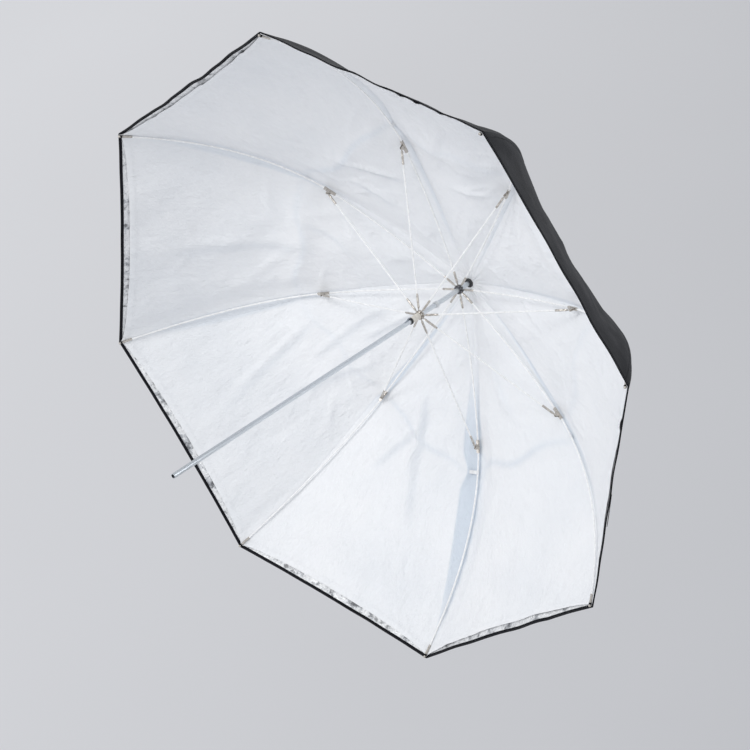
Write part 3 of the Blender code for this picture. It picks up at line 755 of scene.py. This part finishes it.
def tape_width(rows):
    """Half width of the seam tape outside the cover."""
    r = radius[rows]
    full = 2 * r * math.tan(HALF)       # more than half a panel near the apex
    steady = np.interp(r, [0.0, 0.045, 0.12, 0.27, 0.53], [0.017, 0.0165, 0.0140, 0.0105, 0.0085])
    return np.minimum(full, steady)


def halves(grids, k, rows, width=None):
    return (grids[(k - 1) % N].half(rows, -1, width), grids[k].half(rows, 1, width))


def gather(o):
    """Gives the piece its own copy of its mesh."""
    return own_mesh(o)


for k in range(N):
    n = k + 1
    inner_body, outer_body = f"rib_{n}", f"rib_{n}_outer"
    # white canopy
    apex = sector(f"white_apex_{n}", halves(white_in, k, A), halves(white_out, k, A), [MAT_WHITE])
    start = world(0.008, CLOTH_S0, 0.0, PHI[k])
    end = world(0.046, CLOTH_S0 + 0.002, 0.0, PHI[k])
    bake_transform(apex)
    inner = sector(f"white_inner_{n}", halves(white_in, k, B), halves(white_out, k, B), [MAT_WHITE])
    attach(inner, inner_body)
    gather(inner)
    outer = sector(f"white_outer_{n}", halves(white_in, k, C), halves(white_out, k, C), [MAT_WHITE])
    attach(outer, outer_body)
    gather(outer)
    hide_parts(f"canopy_panel_{n}")
    # cover
    c_inner = sector(f"cover_inner_{n}", halves(lining, k, B), halves(outside, k, B),
                     [MAT_SILVER, MAT_BLACK], 1, 1)
    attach(c_inner, inner_body)
    gather(c_inner)
    c_outer = sector(f"cover_outer_{n}", halves(lining, k, C), halves(outside, k, C),
                     [MAT_SILVER, MAT_BLACK], 1, 1)
    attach(c_outer, outer_body)
    gather(c_outer)
    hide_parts(f"cover_panel_{n}")
    # rosette over the apex and tapes along the seam, outside the cover
    rosette = sector(f"cover_rosette_{n}", halves(lining, k, A), halves(tape_out, k, A),
                     [MAT_SILVER, MAT_BLACK], 1, 1)
    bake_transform(rosette)
    rows = slice(I_APEX, I_KNEE - 1)
    tape_a = sector(f"seam_tape_inner_{n}", halves(tape_in, k, rows, tape_width(rows)),
                    halves(tape_out, k, rows, tape_width(rows)), [MAT_BLACK])
    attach(tape_a, inner_body)
    rows = slice(I_KNEE + 1, len(ROWS))
    tape_b = sector(f"seam_tape_outer_{n}", halves(tape_in, k, rows, tape_width(rows)),
                    halves(tape_out, k, rows, tape_width(rows)), [MAT_BLACK])
    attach(tape_b, outer_body)
    # binding folded round the cover's hem
    rows = slice(len(ROWS) - 3, len(ROWS))
    binding = sector(f"cover_binding_{n}", halves(bind_in, k, rows), halves(bind_out, k, rows),
                     [MAT_BLACK])
    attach(binding, outer_body)
    gather(binding)
    pieces_by_rib[k] = {"white_inner": inner, "white_outer": outer, "cover_inner": c_inner,
                        "cover_outer": c_outer}


# ------------------------------------------------------------------ rods
def swept(name, k, stations, mats, sides=16):
    """Rod lying in rib k's plane. Stations: (r, s, heading, half height in the
    plane, half width across it, material)."""
    verts, faces, fm = [], [], []
    for r, s, h, high, wide, m in stations:
        a = 2 * np.pi * np.arange(sides) / sides
        x = r - np.sin(h) * high * np.cos(a)
        st = s + np.cos(h) * high * np.cos(a)
        verts.append(world(x, st, wide * np.sin(a), PHI[k]))
    for i in range(len(stations) - 1):
        for j in range(sides):
            q = (j + 1) % sides
            faces.append([i * sides + j, i * sides + q, (i + 1) * sides + q, (i + 1) * sides + j])
            fm.append(stations[i + 1][5])
    faces.append(list(range(sides))[::-1])
    fm.append(stations[0][5])
    faces.append([(len(stations) - 1) * sides + j for j in range(sides)])
    fm.append(stations[-1][5])
    o = mesh_object(name, np.concatenate(verts), faces, None, None, mats, fm)
    bm = bmesh.new()
    bm.from_mesh(o.data)
    bmesh.ops.recalc_face_normals(bm, faces=bm.faces)
    bm.to_mesh(o.data)
    bm.free()
    o.data.polygons.foreach_set("use_smooth", [True] * len(o.data.polygons))
    o.data.set_sharp_from_angle(angle=math.radians(38))
    return o


def eye(r, s, h):
    """Flattened eye and crimped ferrule from the eye's centre along heading h."""
    out = []
    for x, high, wide, m in (
            (-1.00 * EYE_R, 0.0003, 0.80 * BLADE_T / 2, 1), (-0.92 * EYE_R, 0.40 * EYE_R, BLADE_T / 2, 1),
            (-0.70 * EYE_R, 0.72 * EYE_R, BLADE_T / 2, 1), (-0.3 * EYE_R, 0.95 * EYE_R, BLADE_T / 2, 1),
            (0.2 * EYE_R, EYE_R, BLADE_T / 2, 1), (0.0046, EYE_R, BLADE_T / 2, 1),
            (0.0053, 1.08 * EYE_R, 0.75 * FERRULE_R, 1), (0.0062, FERRULE_R, FERRULE_R, 1),
            (0.0062 + 0.30 * FERRULE_L, FERRULE_R, FERRULE_R, 1),
            (0.0062 + 0.32 * FERRULE_L, 0.90 * FERRULE_R, FERRULE_R, 1),
            (0.0062 + 0.38 * FERRULE_L, 0.90 * FERRULE_R, FERRULE_R, 1),
            (0.0062 + 0.40 * FERRULE_L, FERRULE_R, FERRULE_R, 1),
            (0.0062 + FERRULE_L - 0.0003, FERRULE_R, FERRULE_R, 1),
            (0.0062 + FERRULE_L, 0.94 * FERRULE_R, 0.94 * FERRULE_R, 1),
            (0.0062 + FERRULE_L + 0.0002, ROD_R, ROD_R, 1),
            (0.0062 + FERRULE_L + 0.0030, ROD_R, ROD_R, 0)):
        out.append((r + x * math.cos(h), s + x * math.sin(h), h, high, wide, m))
    return out


def dome(r, s, h, sign):
    """Half ball that ends a rod, sign 1 beyond the point and -1 before it."""
    out = []
    for a in (0, 18, 36, 54, 72, 86):
        x = sign * ROD_R * math.sin(math.radians(a))
        w = ROD_R * math.cos(math.radians(a))
        out.append((r + x * math.cos(h), s + x * math.sin(h), h, w, w, 0))
    return out if sign > 0 else out[::-1]


h0 = float(bez_heading(INNER, 0.0))
ROD_INNER = eye(*EYE, h0)
for t in np.linspace(0.12, 0.985, 30):
    r, s = bez(INNER, t)
    ROD_INNER.append((float(r), float(s), float(bez_heading(INNER, t)), ROD_R, ROD_R, 0))
ROD_INNER += dome(*KNEE, float(bez_heading(INNER, 1.0)), 1)
ROD_OUTER = dome(*KNEE, float(bez_heading(OUTER, 0.0)), -1)
for t in np.linspace(0.02, 0.925, 34):
    r, s = bez(OUTER, t)
    ROD_OUTER.append((float(r), float(s), float(bez_heading(OUTER, t)), ROD_R, ROD_R, 0))
h1 = float(bez_heading(OUTER, 1.0))
for x, w, m in ((-0.0222, ROD_R, 0), (-0.0220, 0.0019, 1), (-0.0140, 0.0019, 1),
                (-0.0138, 0.0017, 1), (-0.0120, 0.0017, 1), (-0.0118, 0.0019, 1), (-0.0040, 0.0018, 1),
                (-0.0034, 0.0012, 1), (-0.0020, 0.0012, 1), (-0.0016, 0.0017, 1),
                (-0.0008, 0.0020, 1), (0.0003, 0.0021, 1), (0.0012, 0.0017, 1),
                (0.0018, 0.0010, 1), (0.0020, 0.0002, 1)):
    ROD_OUTER.append((TIP[0] + x * math.cos(h1), TIP[1] + x * math.sin(h1), h1, w, w, m))
hs = math.atan2(RUNNER_EYE[1] - PIN[1], RUNNER_EYE[0] - PIN[0])
STRETCH = eye(*PIN, hs)
STRETCH += [(r, s, hs, high, wide, m) for r, s, _, high, wide, m in eye(*RUNNER_EYE, hs + math.pi)[::-1]]
# the last rod length takes the material of the piece it leads to
mid = len(STRETCH) // 2
STRETCH[mid] = STRETCH[mid][:5] + (0,)

for k in range(N):
    n = k + 1
    for name, st, body, node in (
            (f"rod_inner_{n}", ROD_INNER, f"rib_{n}", f"rib_inner_{n}"),
            (f"rod_outer_{n}", ROD_OUTER, f"rib_{n}_outer", f"rib_outer_{n}"),
            (f"stretcher_rod_{n}", STRETCH, f"stretcher_{n}", f"stretcher_{n}")):
        o = swept(name, k, st, [MAT_ROD, MAT_NICKEL])
        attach(o, body)
        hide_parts(node)

# ties: a small loop round the rod, sewn to the seam
for k in range(N):
    t = TIE_T[k]
    r, s, h = (float(q) for q in rib(np.array(t)))
    if t > 1:
        h = float(bez_heading(OUTER, t - 1))
    body = f"rib_{k + 1}_outer" if t > 1 else f"rib_{k + 1}"
    seam = seam_line(k, np.array(t), 0.0)
    axis = world(math.cos(h), Y_CROWN + math.sin(h), 0.0, PHI[k]) - np.array([0, 0, 0])
    axis = np.array([math.cos(h) * math.cos(PHI[k]), -math.sin(h), math.cos(h) * math.sin(PHI[k])])
    centre = world(r, s, 0.0, PHI[k])
    to = seam - centre
    to -= axis * (to @ axis)
    reach = float(np.linalg.norm(to))
    to /= reach
    side = np.cross(axis, to)
    # outline of the loop: a ring round the rod that closes into a two-ply tab
    loop = []
    ro, ri = 0.0022, 0.00172
    for a in np.linspace(-155, 155, 22):
        loop.append((ro * math.cos(math.radians(a + 180)), ro * math.sin(math.radians(a + 180)),
                     ri * math.cos(math.radians(a + 180)), ri * math.sin(math.radians(a + 180))))
    pts_out = [(a, b) for a, b, _, _ in loop] + [(reach + 0.0002, -0.0005 if loop[-1][1] < 0 else 0.0005)]
    pts_in = [(c, d) for _, _, c, d in loop]
    first = (reach + 0.0002, 0.0005 if loop[0][1] > 0 else -0.0005)
    pts_out = [first] + pts_out
    pts_in = [(reach + 0.0002, 0.00008 * (1 if loop[0][1] > 0 else -1))] + pts_in \
        + [(reach + 0.0002, 0.00008 * (1 if loop[-1][1] > 0 else -1))]
    verts, faces = [], []
    wide = 0.0030
    for w in (-wide, wide):
        for pts in (pts_out, pts_in):
            for a, b in pts:
                verts.append(centre + axis * w + to * a + side * b)
    c = len(pts_out)
    for i in range(c - 1):
        faces.append([i, i + 1, 2 * c + i + 1, 2 * c + i])
        faces.append([c + i, 3 * c + i, 3 * c + i + 1, c + i + 1])
        faces.append([i, c + i, c + i + 1, i + 1])
        faces.append([2 * c + i, 2 * c + i + 1, 3 * c + i + 1, 3 * c + i])
    for i in (0, c - 1):
        faces.append([i, 2 * c + i, 3 * c + i, c + i])
    tie = mesh_object(f"tie_{k + 1}", np.array(verts), faces, None, None, [MAT_TAPE])
    bm = bmesh.new()
    bm.from_mesh(tie.data)
    bmesh.ops.recalc_face_normals(bm, faces=bm.faces)
    bm.to_mesh(tie.data)
    bm.free()
    tie.data.set_sharp_from_angle(angle=math.radians(40))
    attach(tie, body)

# small black loops that hold the cover's corners behind the metal tips
for k in range(N):
    st = []
    for x, high, wide in ((-0.0046, 0.0013, 0.0016), (-0.0045, 0.0020, 0.0025),
                          (-0.0034, 0.0022, 0.0028), (-0.0024, 0.0021, 0.0025),
                          (-0.0019, 0.0014, 0.0017)):
        st.append((TIP[0] + x * math.cos(h1), TIP[1] + x * math.sin(h1), h1, high, wide, 0))
    o = swept(f"corner_loop_{k + 1}", k, st, [MAT_CORNER], 20)
    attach(o, f"rib_{k + 1}_outer")

# closing strap: a tape sewn under the cover's hem
node = frame["nodes"]["cover_strap"]
bm = bmesh.new()
bm.from_mesh(node.data)
bm.transform(node.matrix_world)
bmesh.ops.remove_doubles(bm, verts=bm.verts, dist=0.00001)
bmesh.ops.dissolve_limit(bm, angle_limit=0.02, verts=bm.verts, edges=bm.edges)
bmesh.ops.subdivide_edges(bm, edges=[e for e in bm.edges if e.calc_length() > 0.03], cuts=14)
bmesh.ops.bevel(bm, geom=[e for e in bm.edges if not e.is_boundary and len(e.link_faces) == 2
                          and e.calc_face_angle(0) > 1.0], offset=0.00025, segments=2,
                affect="EDGES")
strap_mesh = bpy.data.meshes.new("strap")
bm.to_mesh(strap_mesh)
bm.free()
strap_mesh.polygons.foreach_set("use_smooth", [True] * len(strap_mesh.polygons))
strap_mesh.materials.append(MAT_CORNER)
strap = bpy.data.objects.new("strap", strap_mesh)
SCENE.collection.objects.link(strap)
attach(strap, "rib_8_outer")
gather(strap)
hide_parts("cover_strap")

# ------------------------------------------------------------------ CAD nodes
LOOKS = {"shaft_tube": MAT_TUBE, "crown_notch": MAT_HUB, "crown_ring_wire": MAT_NICKEL,
         "apex_washer": MAT_PLASTIC, "apex_cap": MAT_PLASTIC, "stop_ring": MAT_CLEAR,
         "runner_notch": MAT_NICKEL, "runner_ring_wire": MAT_NICKEL,
         "runner_sleeve": MAT_NYLON, "runner_collar": MAT_PLASTIC,
         "spring_catch": MAT_SPRING}
for k in range(N):
    LOOKS[f"joint_clip_{k + 1}"] = MAT_NICKEL
for name, mat in LOOKS.items():
    o = frame["nodes"][name]
    o.data.materials.clear()
    o.data.materials.append(mat)
    if name.startswith(("joint_clip", "crown_notch", "runner_notch", "spring_catch")):
        bev = o.modifiers.new("edge", "BEVEL")
        bev.width = 0.00022
        bev.segments = 2
        bev.limit_method = "ANGLE"
        bev.angle_limit = math.radians(40)
        bev.harden_normals = True

# ------------------------------------------------------------------ setting
def floor_material():
    m, nt, b = new_material("pale_floor")
    ob = coords(nt, "Object")
    tone = noise(nt, ob, 0.8, 3, 0.5)
    nt.links.new(ramp(nt, tone, [(0.2, FLOOR_LO), (0.8, FLOOR_HI)]), b.inputs["Base Color"])
    # painted light: a little glow in the floor's emission that falls off from far left to near right
    sep = nt.nodes.new("ShaderNodeSeparateXYZ")
    nt.links.new(ob, sep.inputs[0])
    g = nt.nodes.new("ShaderNodeMath")
    g.operation = "MULTIPLY_ADD"
    nt.links.new(sep.outputs["Y"], g.inputs[0])
    g.inputs[1].default_value = FLOOR_TURN
    nt.links.new(sep.outputs["X"], g.inputs[2])
    fall = nt.nodes.new("ShaderNodeMapRange")
    for name, value in (("From Min", FLOOR_RANGE[0]), ("From Max", FLOOR_RANGE[1]), ("To Min", FLOOR_GLOW[0]),
                        ("To Max", FLOOR_GLOW[1])):
        fall.inputs[name].default_value = value
    nt.links.new(g.outputs[0], fall.inputs["Value"])
    b.inputs["Emission Color"].default_value = (0.97, 0.975, 1.0, 1.0)
    nt.links.new(fall.outputs[0], b.inputs["Emission Strength"])
    b.inputs["Roughness"].default_value = 0.9
    b.inputs["Specular IOR Level"].default_value = 0.1
    return m


# painted light: strength of the floor's glow at the two ends of its gradient
FLOOR_GLOW = (0.366, 0.120)
FLOOR_RANGE = (-3.832, 0.600)
FLOOR_TURN = 0.199
FLOOR_LO, FLOOR_HI = (0.419, 0.421, 0.438), (0.435, 0.437, 0.455)
bpy.ops.mesh.primitive_plane_add(size=60, location=(0, 4, -1.9))
floor = bpy.context.object
floor.name = "floor"
floor.data.materials.append(floor_material())

world_data = bpy.data.worlds.new("studio")
SCENE.world = world_data
world_data.use_nodes = True
bg = world_data.node_tree.nodes["Background"]
bg.inputs["Color"].default_value = (0.955, 0.974, 1.0, 1.0)
bg.inputs["Strength"].default_value = 0.675


def area_light(name, at, towards, size, power, colour=(1, 1, 1)):
    data = bpy.data.lights.new(name, "AREA")
    data.shape = "RECTANGLE"
    data.size, data.size_y = size
    data.energy = power
    data.color = colour
    o = bpy.data.objects.new(name, data)
    o.location = at
    o.rotation_mode = "QUATERNION"
    o.rotation_quaternion = (Vector(towards) - Vector(at)).to_track_quat("-Z", "Y")
    SCENE.collection.objects.link(o)
    return o


area_light("key", (-1.9, -3.0, 3.4), (0.0, 0.3, 0.0), (1.7, 1.7), 76, (1.0, 0.992, 0.978))
area_light("fill", (3.4, -2.6, 1.2), (0.0, 0.3, 0.0), (3.0, 3.0), 25, (0.96, 0.98, 1.0))
area_light("under", (-1.6, -3.5, -0.85), (0.0, 0.3, 0.0), (2.4, 1.4), 18, (0.98, 0.99, 1.0))
area_light("rim", (2.9, 3.1, 2.0), (0.2, 0.3, -0.1), (2.0, 2.0), 46, (0.92, 0.95, 1.0))

cam_data = bpy.data.cameras.new("camera")
cam_data.lens = 106.107
cam_data.sensor_width = 36.0
cam_data.sensor_fit = "HORIZONTAL"
cam_data.clip_start, cam_data.clip_end = 0.05, 200
cam_data.dof.use_dof = False
camera = bpy.data.objects.new("camera", cam_data)
right = Vector((0.77479, 0.62891, 0.06463))
up = Vector((-0.40922, 0.42095, 0.80953))
look = Vector((-0.48191, 0.65367, -0.58351)) + up * 0.0012
look.normalize()
up = right.cross(look)
turn = Matrix((right, up, -look)).transposed()
camera.matrix_world = Matrix.Translation((1.69737, -2.03397, 1.98675)) @ turn.to_4x4()
SCENE.collection.objects.link(camera)
SCENE.camera = camera

SCENE.view_settings.view_transform = "Standard"
SCENE.view_settings.look = "None"
SCENE.view_settings.exposure = 0.0
SCENE.view_settings.gamma = 1.0

# ------------------------------------------------------------------ update
bpy.context.view_layer.update()
